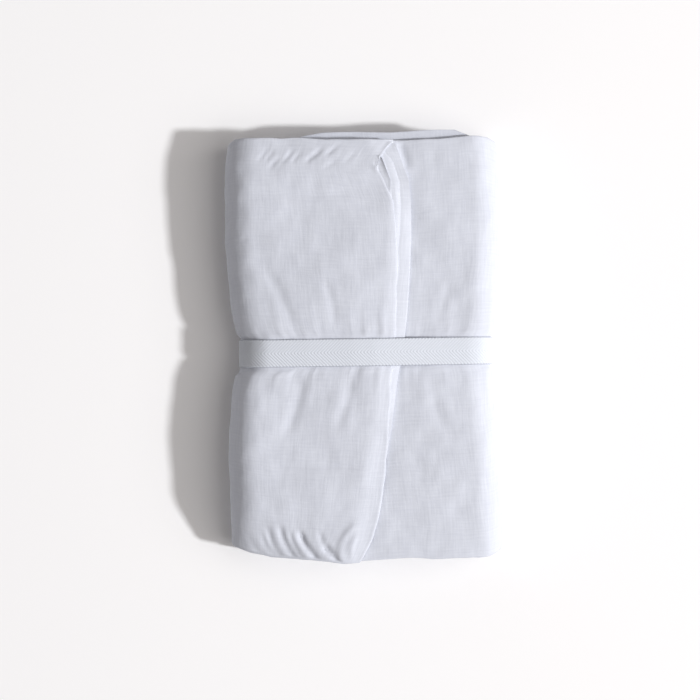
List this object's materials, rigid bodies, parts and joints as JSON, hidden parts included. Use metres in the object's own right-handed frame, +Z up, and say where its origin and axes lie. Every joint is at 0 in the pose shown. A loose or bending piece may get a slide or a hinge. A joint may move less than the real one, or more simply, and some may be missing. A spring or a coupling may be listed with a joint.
{
  "type": "folded swaddle blanket with tie tape",
  "caption": "White cotton muslin swaddle blanket, folded into a flat soft bundle and held at its waist by a woven tie tape.",
  "frame": {"origin": "on the resting surface, under the middle of the bundle's box", "axes": "+Z up out of the front of the bundle, +Y along its long side towards the head end, +X across it, towards the side away from the flap's fold"},
  "size_m": [0.1585, 0.2429, 0.0364],
  "materials": {
    "muslin": "matt washed plain-weave cotton muslin, crinkled",
    "twill_tape": "matt herringbone twill cotton tape"
  },
  "bodies": {
    "root": {"blanket": "muslin", "tie_tape": "twill_tape"}
  },
  "joints": []
}
